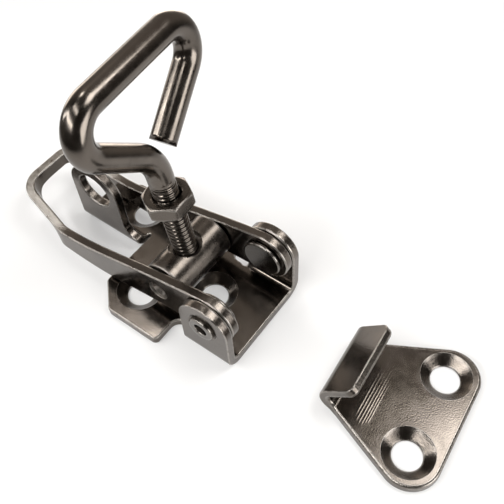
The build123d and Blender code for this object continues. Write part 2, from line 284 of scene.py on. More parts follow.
def rounded(corners, step=1.0, turn=7.5, closed=True):
    """Points along a line of corners (x, y, radius) whose corners are rounded with true arcs."""
    pts = [np.array(c[:2], float) for c in corners]
    count = len(pts)
    pieces = []
    for i in range(count):
        here = pts[i]
        radius = corners[i][2] if len(corners[i]) > 2 else 0.0
        if radius == 0 or (not closed and i in (0, count - 1)):
            pieces.append([here])
            continue
        back = pts[i - 1] - here
        ahead = pts[(i + 1) % count] - here
        back /= np.linalg.norm(back)
        ahead /= np.linalg.norm(ahead)
        half = math.acos(max(-1.0, min(1.0, float(back @ ahead)))) / 2
        reach = radius / math.tan(half)
        middle = back + ahead
        centre = here + middle / np.linalg.norm(middle) * radius / math.sin(half)
        start = here + back * reach - centre
        end = here + ahead * reach - centre
        first = math.atan2(start[1], start[0])
        sweep = (math.atan2(end[1], end[0]) - first + math.pi) % (2 * math.pi) - math.pi
        parts = max(2, math.ceil(abs(math.degrees(sweep)) / turn))
        arc = []
        for k in range(parts + 1):
            angle = first + sweep * k / parts
            arc.append(centre + radius * np.array([math.cos(angle), math.sin(angle)]))
        pieces.append(arc)
    line = []
    for i in range(count if closed else count - 1):
        line += pieces[i][:-1]
        line += spread(pieces[i][-1], pieces[(i + 1) % count][0], step)
    if not closed:
        line += pieces[-1]
    return line


def circle(x, y, radius, count=64):
    """Points of a hole's edge, run clockwise so that its inward side is the material."""
    angles = [-2 * math.pi * k / count for k in range(count)]
    return [np.array([x + radius * math.cos(a), y + radius * math.sin(a)]) for a in angles]


def inset(loop, amount):
    """The loop moved sideways into the material, which lies to its left."""
    loop = np.array(loop)
    ahead = np.roll(loop, -1, 0) - loop
    ahead /= np.linalg.norm(ahead, axis=1)[:, None]
    normal = np.stack([-ahead[:, 1], ahead[:, 0]], 1)
    both = normal + np.roll(normal, 1, 0)
    both /= np.linalg.norm(both, axis=1)[:, None]
    miter = np.clip(np.sum(both * normal, 1), 0.5, 1.0)
    return loop + both * (amount / miter)[:, None]


def edge_profile(thick, top, bottom, steps=4):
    """Stamped edge from the top face to the bottom face, as (inset, height) pairs."""
    profile = []
    for k in range(steps + 1):
        angle = math.pi / 2 * k / steps
        profile.append((top * (1 - math.sin(angle)), thick - top * (1 - math.cos(angle))))
    near_arc = 0.15              # keeps the wear and painted edge highlight close to the arcs
    profile += [(0.0, thick - top - near_arc), (0.0, thick * 0.45), (0.0, bottom + near_arc)]
    for k in range(steps + 1):
        angle = math.pi / 2 * k / steps
        profile.append((bottom * (1 - math.cos(angle)), bottom * (1 - math.sin(angle))))
    return profile


def sink_profile(thick, reach, depth):
    """Hole edge with a conical sink on the top face, as (inset, height) pairs."""
    lip = 0.12                   # rounding at the sink's rim
    floor = max(thick - depth, 0.12)
    steps = 6
    profile = [(reach + lip, thick), (reach + lip * 0.35, thick - lip * 0.2), (reach, thick - lip * 0.6)]
    for k in range(1, steps):
        part = k / steps
        profile.append((reach * (1 - part), thick - lip - (thick - lip - floor) * part))
    profile += [(0.0, floor), (0.0, floor / 2), (0.06, 0.0)]
    return profile


def turning(profile):
    """Wear and painted edge highlight along a profile: 1 where its outline turns sharply, 0 where it is
    straight.
    """
    steps = [Vector((b[0] - a[0], b[1] - a[1])) for a, b in zip(profile, profile[1:])]
    turns = [abs(a.angle_signed(b, 0.0)) for a, b in zip(steps, steps[1:])]
    return [0.0] + [min(turn / math.radians(25), 1.0) for turn in turns] + [0.0]


def profile_normals(profile):
    """Outward normals (inward part, upward part) along an edge profile, flat at both ends."""
    steps = [(b[0] - a[0], b[1] - a[1]) for a, b in zip(profile, profile[1:])]
    normals = [(0.0, 1.0)]
    for (a0, h0), (a1, h1) in zip(steps, steps[1:]):
        inward, up = h0 + h1, -a0 - a1
        size = math.hypot(inward, up)
        normals.append((inward / size, up / size))
    return normals + [(0.0, -1.0)]


def flat_sheet(loops, cuts):
    """Closed sheet from loops of (points, profile); the first loop is the outer edge.

    The faces are cut by planes (point, normal) so that the sheet can be folded there. The layers
    say where the stamped edge is (rim), where it is rubbed pale and carries a painted edge highlight, and
    which way it faces (lie).
    """
    bm = bmesh.new()
    rim = bm.verts.layers.float.new("rim")
    worn_and_highlit = bm.verts.layers.float.new("worn_and_highlit")
    lie = bm.verts.layers.float_vector.new("lie")
    top_edges = []
    bottom_edges = []
    for points, profile in loops:
        rings = []
        ways = inset(points, 1.0) - np.array(points)
        ways /= np.linalg.norm(ways, axis=1)[:, None]
        faces = profile_normals(profile)
        wear_and_highlight = turning(profile)
        for step, (amount, height) in enumerate(profile):
            ring = []
            for (x, y), way in zip(inset(points, amount), ways):
                vert = bm.verts.new((x, y, height))
                vert[rim] = 0.0 if step in (0, len(profile) - 1) else 1.0
                vert[worn_and_highlit] = wear_and_highlight[step]
                vert[lie] = (way[0] * faces[step][0], way[1] * faces[step][0], faces[step][1])
                ring.append(vert)
            rings.append(ring)
        count = len(points)
        for upper, lower in zip(rings, rings[1:]):
            for i in range(count):
                j = (i + 1) % count
                bm.faces.new((upper[i], lower[i], lower[j], upper[j]))
        for ring, edges in ((rings[0], top_edges), (rings[-1], bottom_edges)):
            for i in range(count):
                edges.append(bm.edges.get((ring[i], ring[(i + 1) % count])))
    bmesh.ops.triangle_fill(bm, use_beauty=True, edges=top_edges, normal=(0, 0, 1))
    bmesh.ops.triangle_fill(bm, use_beauty=True, edges=bottom_edges, normal=(0, 0, -1))
    for point, normal in cuts:
        every = bm.verts[:] + bm.edges[:] + bm.faces[:]
        bmesh.ops.bisect_plane(bm, geom=every, dist=1e-5, plane_co=point, plane_no=normal)
    return bm


def cuts_along(axis, values):
    """Cutting planes square to an axis of the flat sheet."""
    normal = Vector((1 - axis, axis, 0))
    return [(normal * v, normal) for v in values]


def steps_between(a, b, step):
    """Even values from a to b with both ends, about step apart."""
    count = max(1, round(abs(b - a) / step))
    return [a + (b - a) * k / count for k in range(count + 1)]


def fold(beyond, depth, radius_out, angle):
    """Point of a sheet so far beyond a fold line: (reach past the line, height).

    depth runs from the outside of the fold, 0, to its inside.
    """
    neutral = radius_out - SHEET / 2
    turned = min(beyond / neutral, angle)
    rest = beyond - neutral * turned
    reach = (radius_out - depth) * math.sin(turned) + rest * math.cos(turned)
    height = radius_out - (radius_out - depth) * math.cos(turned) + rest * math.sin(turned)
    return reach, height


def natural_spline(points):
    """Smooth curve y(x) through points, as a function."""
    order = sorted(points)
    x = np.array([p[0] for p in order])
    y = np.array([p[1] for p in order])
    n = len(x)
    gap = np.diff(x)
    slope = np.diff(y) / gap
    rows = np.eye(n)
    right = np.zeros(n)
    for i in range(1, n - 1):
        rows[i, i - 1:i + 2] = gap[i - 1], 2 * (gap[i - 1] + gap[i]), gap[i]
        right[i] = 6 * (slope[i] - slope[i - 1])
    bend = np.linalg.solve(rows, right)

    def value(at):
        i = int(np.clip(np.searchsorted(x, at) - 1, 0, n - 2))
        a = (x[i + 1] - at) / gap[i]
        b = 1 - a
        curved = ((a ** 3 - a) * bend[i] + (b ** 3 - b) * bend[i + 1]) * gap[i] ** 2 / 6
        return a * y[i] + b * y[i + 1] + curved

    return value


def lathe(profile, place, count=72):
    """Closed turned body from (radius, along) pairs; both ends lie on the axis.

    place takes (across, across, along) to a point.
    """
    bm = bmesh.new()
    worn_and_highlit = bm.verts.layers.float.new("worn_and_highlit")
    rings = []
    for (radius, along), wear_and_highlight in zip(profile, turning(profile)):
        if radius < 1e-6:
            rings.append([bm.verts.new(place(0.0, 0.0, along))])
            continue
        ring = []
        for k in range(count):
            angle = 2 * math.pi * k / count
            ring.append(bm.verts.new(place(radius * math.cos(angle), radius * math.sin(angle), along)))
            ring[-1][worn_and_highlit] = wear_and_highlight
        rings.append(ring)
    for a, b in zip(rings, rings[1:]):
        for i in range(count):
            j = (i + 1) % count
            if len(a) == 1:
                bm.faces.new((a[0], b[i], b[j]))
            elif len(b) == 1:
                bm.faces.new((a[i], b[0], a[j]))
            else:
                bm.faces.new((a[i], b[i], b[j], a[j]))
    return bm


def soft_profile(corners):
    """Turned outline (radius, along, rounding) with its corners rounded."""
    line = rounded(corners, step=50.0, turn=18.0, closed=False)
    return [(float(radius), float(along)) for radius, along in line]


# ---- base plate ----------------------------------------------
fold_y = PLATE_HALF - BEND_OUT
quarter = math.pi / 2
flat_bend = quarter * (BEND_OUT - SHEET / 2)
ear_centre = fold_y + flat_bend + PIVOT_Z - BEND_OUT
tab_x = TONGUE_END + TAB_R
tab_flat = BEND_OUT - flat_bend                     # flat y where the tab's wall begins
tab_centre = tab_flat - (TAB_HOLE_Z - BEND_OUT)
tab_right = tab_x + TAB_R
tab_sweep = FOOT_END - tab_right
slit_end = BEND_OUT + TAB_SLIT_END


def arc_points(x, y, radius, start, end, count):
    """Corner list without rounding, along an arc given in degrees."""
    angles = [math.radians(start + (end - start) * k / count) for k in range(count + 1)]
    return [(x + radius * math.cos(a), y + radius * math.sin(a), 0.0) for a in angles]


plate_corners = [
    (EAR_R, -fold_y, 0.0),
    (EAR_R, fold_y, 0.0),
    *arc_points(0, ear_centre, EAR_R, 0, 180, 36),
    (-EAR_R, fold_y + 0.2, EAR_RELIEF),
    (NOTCH_START, NOTCH_EDGE, EAR_RELIEF),
    (FOOT_START, NOTCH_EDGE, NOTCH_ROUND),
    (FOOT_START, TONGUE_REACH, FOOT_ROUND),
    (TONGUE_END + CORNER_CUT, TONGUE_REACH, CUT_ROUND),
    (TONGUE_END, TONGUE_REACH - CORNER_CUT, CUT_ROUND),
    (TONGUE_END, tab_centre + 1.0, 0.0),
    *arc_points(tab_x, tab_centre, TAB_R, 180, 360, 36),
    *arc_points(FOOT_END - TAB_SLIT, tab_flat - tab_sweep + TAB_SLIT, tab_sweep - TAB_SLIT, 180, 90, 12)[1:],
    (FOOT_END - TAB_SLIT, slit_end, TAB_SLIT_ROUND),
    (FOOT_END, slit_end, TAB_SLIT_ROUND),
    (FOOT_END, -(FOOT_REACH - CORNER_CUT), CUT_ROUND),
    (FOOT_END + CORNER_CUT, -FOOT_REACH, CUT_ROUND),
    (FOOT_START, -FOOT_REACH, FOOT_ROUND),
    (FOOT_START, -NOTCH_EDGE, NOTCH_ROUND),
    (NOTCH_START, -NOTCH_EDGE, EAR_RELIEF),
    (-EAR_R, -fold_y - 0.2, EAR_RELIEF),
    *arc_points(0, -ear_centre, EAR_R, 180, 360, 36),
]
screw_sink = sink_profile(SHEET, SINK_R - SCREW_R, (SINK_R - SCREW_R) / SINK_SLOPE)
# (inset, height) pairs; the ear's hole is sunk on its outside for the rivet
ear_hole = [(0.1, SHEET), (0.0, SHEET - 0.1), (0.0, 1.3), (0.65, 0.68), (1.25, 0.1), (1.4, 0.0)]
plate_loops = [(rounded(plate_corners), edge_profile(SHEET, *PLATE_EDGE))]
plate_loops += [(circle(x, y, SCREW_R), screw_sink) for x, y in FLOOR_HOLES]
plate_loops += [(circle(0, s * ear_centre, RIVET_R, 48), ear_hole) for s in (-1, 1)]
plate_loops.append((circle(tab_x, tab_centre, TAB_HOLE_R), edge_profile(SHEET, *TAB_HOLE_EDGE)))
plate_cuts = cuts_along(0, steps_between(TONGUE_END + 1, EAR_R - 1, FLAT_STEP))
plate_cuts += cuts_along(1, steps_between(tab_centre - TAB_R, tab_flat, FLAT_STEP))
plate_cuts += cuts_along(1, steps_between(tab_flat, BEND_OUT, BEND_STEP))
plate_cuts += cuts_along(1, steps_between(BEND_OUT + 1.5, fold_y, FLAT_STEP))
ear_foot = fold_y + flat_bend
for side in (-1, 1):
    plate_cuts += cuts_along(1, [side * v for v in steps_between(fold_y, ear_foot, BEND_STEP)])
    plate_cuts += cuts_along(1, [side * v for v in steps_between(ear_foot + 1.5, ear_centre + 6, FLAT_STEP)])


def place_plate(x, y, w):
    """Folds up the ears at both sides and the tab at the tongue; w is the height in the sheet."""
    if abs(x) < EAR_R + 0.01 and abs(y) > fold_y:
        reach, height = fold(abs(y) - fold_y, w, BEND_OUT, quarter)
        return Vector((x, math.copysign(fold_y + reach, y), height))
    if x < FOOT_END - TAB_SLIT / 2 and y < BEND_OUT:
        reach, height = fold(BEND_OUT - y, w, BEND_OUT, quarter)
        return Vector((x, BEND_OUT - reach, height))
    return Vector((x, y, w))


finish_piece(
    "base_plate_stamping",
    flat_sheet(plate_loops, plate_cuts),
    "base",
    "base_plate",
    place_plate,
    wave=0.03,
)

# ---- keeper --------------------------------------------------
keeper_fold = LIP_BEND - KEEPER_BACK
lip_turn = math.pi - LIP_RISE
lip_neutral = LIP_BEND - SHEET / 2
lip_foot = keeper_fold - lip_neutral * lip_turn
flare_flat = keeper_fold - lip_neutral * math.asin((FLARE_BACK + keeper_fold) / LIP_BEND)
lip_flat_end = lip_foot - LIP_LENGTH
front_half = LIP_HALF + (KEEPER_FRONT + FLARE_BACK) * math.tan(KEEPER_FLARE)
keeper_corners = [
    (KEEPER_FRONT, -front_half, KEEPER_CORNER),
    (KEEPER_FRONT, front_half, KEEPER_CORNER),
    (flare_flat, LIP_HALF, LIP_ROOT_ROUND),
    (lip_flat_end, LIP_HALF, LIP_CORNER),
    (lip_flat_end, -LIP_HALF, LIP_CORNER),
    (flare_flat, -LIP_HALF, LIP_ROOT_ROUND),
]
keeper_loops = [(rounded(keeper_corners, step=0.8, turn=5), edge_profile(SHEET, *KEEPER_EDGE, 6))]
keeper_loops += [(circle(0, s * KEEPER_HOLE, SCREW_R, 80), screw_sink) for s in (-1, 1)]
marks_from, marks_to = [keeper_fold + v for v in WITNESS_ZONE]
keeper_cuts = cuts_along(0, steps_between(lip_flat_end + 1, lip_foot, KEEPER_STEP))
keeper_cuts += cuts_along(0, steps_between(lip_foot, keeper_fold, LIP_STEP))
keeper_cuts += cuts_along(0, steps_between(marks_from, marks_to, WITNESS_STEP))
keeper_cuts += cuts_along(0, steps_between(marks_to + 1, KEEPER_FRONT - 1.2, KEEPER_STEP))
keeper_cuts += cuts_along(1, steps_between(-front_half + 2, front_half - 2, KEEPER_STEP))
keeper_frame = Matrix.Translation((KEEPER_X, KEEPER_Y, 0)) @ Matrix.Rotation(KEEPER_TURN, 4, "Z")


def witness(x, y):
    """Height of the press brake's marks on the plate, in front of the fold."""
    height = 0.0
    for start, (near, far) in zip(WITNESS_STARTS, WITNESS_SPANS):
        along = share((y - near) / WITNESS_ENDS[0]) * share((far - y) / WITNESS_ENDS[1])
        sway = WITNESS_SWAY * noise.noise(Vector((y * 0.9, start, 0.0)))
        off = (x - keeper_fold - start - sway) / WITNESS_WIDE
        height += WITNESS_HIGH * along * math.exp(-(off ** 2))
    return height


def place_keeper(x, y, w):
    """Folds the lip back over the plate and turns the keeper into its place."""
    w += witness(x, y) * share(w / SHEET)
    if x < keeper_fold:
        reach, height = fold(keeper_fold - x, w, LIP_BEND, lip_turn)
        return keeper_frame @ Vector((keeper_fold - reach, y, height))
    return keeper_frame @ Vector((x, y, w))


finish_piece(
    "keeper_stamping",
    flat_sheet(keeper_loops, keeper_cuts),
    "base",
    "keeper",
    place_keeper,
    wave=0.03,
)

# ---- lever ---------------------------------------------------
corner_y = ARM_MID - (NEAR_BEND_X - HANDLE_X) * math.tan(NEAR_TURN)
lever_corners = [
    (EYE_R, -ARM_MID),
    (NEAR_BEND_X, -ARM_MID, NEAR_BEND_R),
    (HANDLE_X, -corner_y, NEAR_CORNER_R),
    (HANDLE_X, ARM_MID, FAR_CORNER_R),
    (EYE_R, ARM_MID),
]
lever_plan = np.array(rounded(lever_corners, step=1.0, turn=3.0, closed=False))
plan_run = np.concatenate([[0], np.cumsum(np.linalg.norm(np.diff(lever_plan, axis=0), axis=1))])
plan_ahead = np.gradient(lever_plan, plan_run, axis=0)
plan_length = plan_run[-1]


def plan_at(s):
    """Point on the lever's middle line in plan, and its direction."""
    x = float(np.interp(s, plan_run, lever_plan[:, 0]))
    y = float(np.interp(s, plan_run, lever_plan[:, 1]))
    ax = float(np.interp(s, plan_run, plan_ahead[:, 0]))
    ay = float(np.interp(s, plan_run, plan_ahead[:, 1]))
    size = math.hypot(ax, ay)
    return x, y, ax / size, ay / size


leave_x = -EYE_R * math.sin(EYE_BLEND)
leave_z = EYE_R * math.cos(EYE_BLEND)
arm_top = natural_spline(((leave_x, PIVOT_Z + leave_z),) + ARM_TOP)
arm_under = natural_spline(((leave_x, PIVOT_Z - leave_z),) + ARM_UNDER)
arm_start = EYE_R - leave_x
run = steps_between(arm_start, plan_length - arm_start, 0.8)
under = [(s, arm_under(plan_at(s)[0]), 0.0) for s in run]
over = [(s, arm_top(plan_at(s)[0]), 0.0) for s in reversed(run)]
blend_deg = math.degrees(EYE_BLEND)
far_eye = arc_points(plan_length - EYE_R, PIVOT_Z, EYE_R, -90 - blend_deg, 90 + blend_deg, 40)
near_eye = arc_points(EYE_R, PIVOT_Z, EYE_R, 90 - blend_deg, 270 + blend_deg, 40)
lever_outline = rounded(under[:-1] + far_eye[:-1] + over[:-1] + near_eye[:-1], step=0.9)
# (inset, height) pairs; the pin's hole is bevelled on the arm's outside
pin_hole = [(0.75, SHEET), (0.7, SHEET - 0.05), (0.0, SHEET - 0.75), (0.0, 0.1), (0.1, 0.0)]
plain_hole = [(0.1, SHEET), (0.0, SHEET - 0.1), (0.0, 0.1), (0.1, 0.0)]
lever_loops = [(lever_outline, edge_profile(SHEET, *LEVER_EDGE))]
for eye, pin in ((EYE_R, EYE_R - BARREL_X), (plan_length - EYE_R, plan_length - EYE_R + BARREL_X)):
    lever_loops.append((circle(eye, PIVOT_Z, EYE_HOLE_R, 48), plain_hole))
    lever_loops.append((circle(pin, BARREL_Z, PIN_HOLE_R, 48), pin_hole))
arm_run = 50.0                                      # straight stretch of each arm, from its eye
lever_cuts = cuts_along(0, steps_between(1.0, arm_run, FLAT_STEP))
lever_cuts += cuts_along(0, steps_between(arm_run, plan_length - arm_run, HANDLE_STEP))
lever_cuts += cuts_along(0, steps_between(plan_length - arm_run, plan_length - 1.0, FLAT_STEP))
lever_cuts += cuts_along(1, steps_between(4.0, 20.0, 1.6))


def place_lever(s, z, w):
    """Bends the strip round its plan and tilts the handle's near part out; w is 0 on the inside."""
    x, y, ax, ay = plan_at(s)
    ramp = share((NEAR_BEND_X - x) / HANDLE_TILT_IN) * share((HANDLE_TILT_OUT[0] - y) / HANDLE_TILT_OUT[1])
    tilt = HANDLE_TILT * ramp * ramp * (3 - 2 * ramp) * max(arm_top(x) - z, 0.0) / HANDLE_TILT_DEPTH
    out = w - SHEET / 2 + tilt
    return Vector((x + ay * out, y - ax * out, z))


def rub_and_highlight_handle(bm):
    """The handle's top edge, where it is held, is rubbed to a pale matt metal, which is also a painted
    highlight.
    """
    rim = bm.verts.layers.float["rim"]
    worn_and_highlit = bm.verts.layers.float["worn_and_highlit"]
    for vert in bm.verts:
        x = plan_at(vert.co.x)[0]
        if vert[rim] > 0.5 and vert.co.y > (arm_top(x) + arm_under(x)) / 2:
            vert[worn_and_highlit] = max(vert[worn_and_highlit], HANDLE_RUB_AND_HIGHLIGHT * share((HANDLE_RUB_AND_HIGHLIGHT_FROM[0] - x) / HANDLE_RUB_AND_HIGHLIGHT_FROM[1]))
    return bm


finish_piece(
    "lever_bow",
    rub_and_highlight_handle(flat_sheet(lever_loops, lever_cuts)),
    "lever",
    "lever",
    place_lever,
    wave=0.025,
)

# ---- rivets --------------------------------------------------
rivet_corners = [
    (0.0, RIVET_INNER),
    (RIVET_HEAD_R, RIVET_INNER, 0.45),
    (RIVET_HEAD_R, RIVET_SHOULDER, 0.45),
    (RIVET_R, RIVET_SHOULDER),
    (RIVET_R, RIVET_SINK),
    (RIVET_END_R, RIVET_SINK_END, 0.3),
    (RIVET_END_R, RIVET_TIP, 0.45),
    (RIVET_DISH_R, RIVET_TIP, 0.35),
    (*RIVET_DISH_FOOT, 0.25),
    (0.0, RIVET_DISH_FLOOR),
]
for side, name in ((-1, "near_rivet"), (1, "far_rivet")):
    finish_piece(
        name + "_turned",
        lathe(soft_profile(rivet_corners), lambda a, b, t: Vector((a, side * t, PIVOT_Z + b))),
        "base",
        name,
    )


# ---- hook bolt -----------------------------------------------
Y_AXIS = Vector((0, 1, 0))
stem_dir = Vector((-math.sin(LEAN), 0, math.cos(LEAN)))
stem_side = stem_dir.cross(Y_AXIS)
forward = Vector((-math.cos(LEAN), 0, -math.sin(LEAN)))
across_dir = Vector((0, math.cos(TURN), 0)) + forward * math.sin(TURN)
loop_normal = across_dir.cross(stem_dir)
barrel_at = Vector((BARREL_X, 0, BARREL_Z))
crossbar = STEM_LENGTH + LOOP_RISE
sweep_angle = math.atan2(LOOP_NEAR, LOOP_RISE)
free_dir = Vector((LOOP_FAR - LOOP_AIM, LOOP_RISE)).normalized()
bend_centre = Vector((-STEM_BEND, -STEM_BEND * math.tan(sweep_angle / 2)))
bend_face = bend_centre.dot(free_dir) + STEM_BEND + ROD_R
free_end = Vector((LOOP_AIM, 0)) + free_dir * (bend_face + LOOP_GAP - LOOP_AIM * free_dir.x)
hook_corners = [
    (0.0, -STEM_TAIL),
    (0.0, STEM_LENGTH, STEM_BEND),
    (-LOOP_NEAR, crossbar, CORNER_BEND),
    (LOOP_FAR, crossbar, CORNER_BEND),
    (free_end.x, STEM_LENGTH + free_end.y),
]
hook_path = rounded(hook_corners, step=1.2, turn=3.5, closed=False)


def thread_groove(phase):
    """Depth share of a rolled and plated thread: 0 on the crest, 1 at the root."""
    return 0.5 - 0.5 * math.cos(2 * math.pi * phase)


def stem_radius(s, angle):
    """Radius of the threaded stem: bevelled at its tail, with the thread running out at its top."""
    fade = share((THREAD_TOP - s) / THREAD_RUN_OUT)
    cap = ROD_R - STEM_TAIL_BEVEL + (s + STEM_TAIL)
    return min(cap, ROD_R - THREAD_DEPTH * fade * thread_groove(s / PITCH - angle / (2 * math.pi)))


def rod_stations():
    """Points along the rod as (point, direction, distance up the threaded stem, or None beyond it)."""
    stations = []
    for s in steps_between(-STEM_TAIL, THREAD_TOP, PITCH / 16):
        stations.append((Vector((0, s)), Vector((0, 1)), s))
    path = [Vector(p) for p in hook_path]
    for i, point in enumerate(path):
        if abs(point.x) < 1e-6 and point.y <= THREAD_TOP + 0.05:
            continue
        before = path[i - 1]
        after = path[min(i + 1, len(path) - 1)]
        stations.append((point, (after - before).normalized(), None))
    return stations


def rod_ring(bm, point, direction, radius_of):
    """Ring of vertices round a point of the hook's path, which lies in the plane of the loop."""
    side = Vector((direction.y, -direction.x))
    out = side.x * across_dir + side.y * stem_dir
    centre = barrel_at + point.x * across_dir + point.y * stem_dir
    ring = []
    for k in range(ROD_COUNT):
        angle = 2 * math.pi * k / ROD_COUNT
        spoke = math.cos(angle) * out + math.sin(angle) * loop_normal
        ring.append(bm.verts.new(centre + radius_of(angle) * spoke))
    return ring


def build_hook():
    """Rod along the hook's path; its free end is cut square, with a small chamfer."""
    bm = bmesh.new()
    stations = rod_stations()
    rings = []
    for point, direction, s in stations:
        if s is None:
            rings.append(rod_ring(bm, point, direction, lambda a: ROD_R))
        else:
            rings.append(rod_ring(bm, point, direction, lambda a: stem_radius(s, a)))
    last, ahead, _ = stations[-1]
    for along, inward in ROD_END:
        point = last + ahead * (along - ROD_END[-1][0])
        rings.append(rod_ring(bm, point, ahead, lambda a: ROD_R - inward))
    for a, b in zip(rings, rings[1:]):
        for i in range(ROD_COUNT):
            j = (i + 1) % ROD_COUNT
            bm.faces.new((a[i], a[j], b[j], b[i]))
    bm.faces.new(rings[0])
    bm.faces.new(rings[-1])
    return bm


finish_piece("hook_bolt_rod", build_hook(), "hook", "hook_bolt")


# ---- lock nut ------------------------------------------------
nut_face = NUT_FLAT * NUT_FACE
nut_bore = ROD_R + NUT_CLEAR
nut_bevel = math.tan(NUT_BEVEL)


def hexagon(angle):
    """Radius of the nut's outline, with its corners rounded off."""
    folded = (angle + math.pi / 6) % (math.pi / 3) - math.pi / 6
    raw = NUT_FLAT / math.cos(folded)
    rounding = NUT_FLAT * NUT_ROUND
    return raw if raw < rounding else rounding + (raw - rounding) * 0.45


def even_ring(radius, z):
    """A ring of the nut, as a function of the angle that gives (radius, height)."""
    return lambda angle: (radius, z)


def threaded_ring(z):
    """Ring of the threaded bore."""
    def values(angle):
        phase = z / PITCH - angle / (2 * math.pi) + 0.5
        return nut_bore + NUT_GROOVE * (1 - thread_groove(phase)), z
    return values


def bevel_ring(part, top):
    """Ring on a bevelled face: part is 0 at the flat face and 1 at the nut's side."""
    def values(angle):
        radius = nut_face + (hexagon(angle) - NUT_EDGE[0] - nut_face) * part
        drop = max(radius - nut_face, 0.0) * nut_bevel + NUT_FACE_EDGE
        return radius, NUT_HIGH - drop if top else drop
    return values


def side_ring(below, top):
    """Ring on the nut's side, so far below the bevelled face."""
    def values(angle):
        radius = hexagon(angle)
        drop = max(radius - nut_face, 0.0) * nut_bevel + NUT_FACE_EDGE + below
        return radius, NUT_HIGH - drop if top else drop
    return values


def nut_rings():
    """(ring, wear and painted highlight) pairs up through the bore, over the top, down the side and over the
    bottom.
    """
    thread = steps_between(NUT_THREAD_END, NUT_HIGH - NUT_THREAD_END, PITCH / 14)
    rings = [(threaded_ring(z), 0.0) for z in thread]
    rings += [(even_ring(nut_bore + outward, NUT_HIGH - deep), 0.0) for outward, deep in NUT_LEAD]
    rings += [
        (even_ring(nut_face - 0.1, NUT_HIGH), 0.0),
        (even_ring(nut_face, NUT_HIGH - NUT_FACE_EDGE), 0.0),
        (bevel_ring(0.5, True), 0.0),
        (bevel_ring(1.0, True), 0.5),
        (side_ring(NUT_EDGE[1], True), 0.8),
        (side_ring(0.5, True), 0.0),
        (side_ring(0.5, False), 0.0),
        (side_ring(NUT_EDGE[1], False), 0.8),
        (bevel_ring(1.0, False), 0.8),
        (bevel_ring(0.5, False), 0.0),
        (even_ring(nut_face, NUT_FACE_EDGE), 0.0),
        (even_ring(nut_face - 0.1, 0.0), 0.0),
    ]
    rings += [(even_ring(nut_bore + outward, deep), 0.0) for outward, deep in reversed(NUT_LEAD)]
    return rings


def build_nut():
    """Hexagon nut round the stem, bevelled on both faces and threaded."""
    bm = bmesh.new()
    worn_and_highlit = bm.verts.layers.float.new("worn_and_highlit")
    origin = barrel_at + stem_dir * NUT_START
    rings = []
    for values, wear_and_highlight in nut_rings():
        ring = []
        for k in range(NUT_COUNT):
            angle = 2 * math.pi * k / NUT_COUNT + math.pi / 6
            radius, z = values(angle)
            spoke = math.cos(angle) * stem_side + math.sin(angle) * Y_AXIS
            ring.append(bm.verts.new(origin + stem_dir * z + radius * spoke))
            ring[-1][worn_and_highlit] = wear_and_highlight
        rings.append(ring)
    for a, b in zip(rings, rings[1:] + rings[:1]):
        for i in range(NUT_COUNT):
            j = (i + 1) % NUT_COUNT
            bm.faces.new((a[i], b[i], b[j], a[j]))
    return bm


finish_piece("lock_nut_hex", build_nut(), "nut", "lock_nut")


# ---- barrel --------------------------------------------------
def cut_away(bm, cutter):
    """bm with the closed body cutter taken out of it, as a new bmesh."""
    pair = []
    for body in (bm, cutter):
        bmesh.ops.recalc_face_normals(body, faces=body.faces[:])
        pair.append(as_object("cut", body))
    cut = pair[0].modifiers.new("cut", "BOOLEAN")
    cut.operation = "DIFFERENCE"
    cut.solver = "EXACT"
    cut.object = pair[1]
    result = bmesh.new()
    result.from_object(pair[0], bpy.context.evaluated_depsgraph_get())
    for item in pair:
        bpy.data.meshes.remove(item.data)    # the object goes with it
    return result


def barrel_profile():
    """Turned outline (radius, along) from the dished end of one pin to that of the other."""
    half = ARM_OUT - SHEET - BARREL_GAP
    tip = ARM_OUT - PIN_BELOW
    turned = [
        (0.0, tip - DISH_DEEP, 0),
        (DISH_R - DISH_DEEP, tip - DISH_DEEP, 0.1),
        (DISH_R, tip, 0.08),
        (PIN_R, tip, 0.2),
        (PIN_R, half, 0.08),
        (BARREL_R, half, 0.4),
        (BARREL_R, half - 0.8, 0),
    ]
    outline = soft_profile(turned)
    middle = [(BARREL_R, y) for y in steps_between(half - 1.1, 1.1 - half, BARREL_STEP)]
    return outline + middle + [(radius, -y) for radius, y in reversed(outline)]


def bore_profile():
    """Outline (radius, along the stem) of the bore and of the counterbore above it."""
    return [
        (0.0, -BORE_PAST),
        (BORE_R, -BORE_PAST),
        (BORE_R, RECESS_FLOOR - 0.2),
        (BORE_R + 0.2, RECESS_FLOOR),
        (RECESS_R - 0.12, RECESS_FLOOR),
        (RECESS_R, RECESS_FLOOR + 0.12),
        (RECESS_R, BORE_PAST),
        (0.0, BORE_PAST),
    ]


def build_barrel():
    """Turned body with a pin at each end, counterbored and bored across for the stem."""
    body = lathe(barrel_profile(), lambda x, y, z: barrel_at + x * stem_dir + y * stem_side + z * Y_AXIS, 160)
    bore = lathe(bore_profile(), lambda x, y, z: barrel_at + x * stem_side + y * Y_AXIS + z * stem_dir, 128)
    return cut_away(body, bore)


finish_piece("barrel_turned", build_barrel(), "barrel", "barrel")

# ---- floor and camera, in metres -----------------------------
FLOOR_HALF = 2.5
FLOOR_BELOW = 0.0001
LENS = 50.82
CAMERA_AT = (0.06295, -0.07125, 0.1599)
# the columns are the camera's right, up and back directions
CAMERA_TURN = ((0.8066, -0.4612, 0.3698), (0.5898, 0.6707, -0.4499), (-0.0405, 0.5809, 0.8129))

plane = bmesh.new()
floor_corners = []
for across, along in ((-1, -1), (1, -1), (1, 1), (-1, 1)):
    floor_corners.append(plane.verts.new((across * FLOOR_HALF, along * FLOOR_HALF, -FLOOR_BELOW)))
plane.faces.new(floor_corners)
floor = as_object("floor", plane)

camera_data = bpy.data.cameras.new("camera")
camera_data.lens = LENS
camera_data.sensor_width = 36.0
camera_data.clip_start = 0.01
camera = placed("camera", camera_data)
camera.matrix_world = Matrix.Translation(CAMERA_AT) @ Matrix(CAMERA_TURN).to_4x4()
bpy.context.scene.camera = camera
bpy.context.scene.view_settings.view_transform = "Standard"


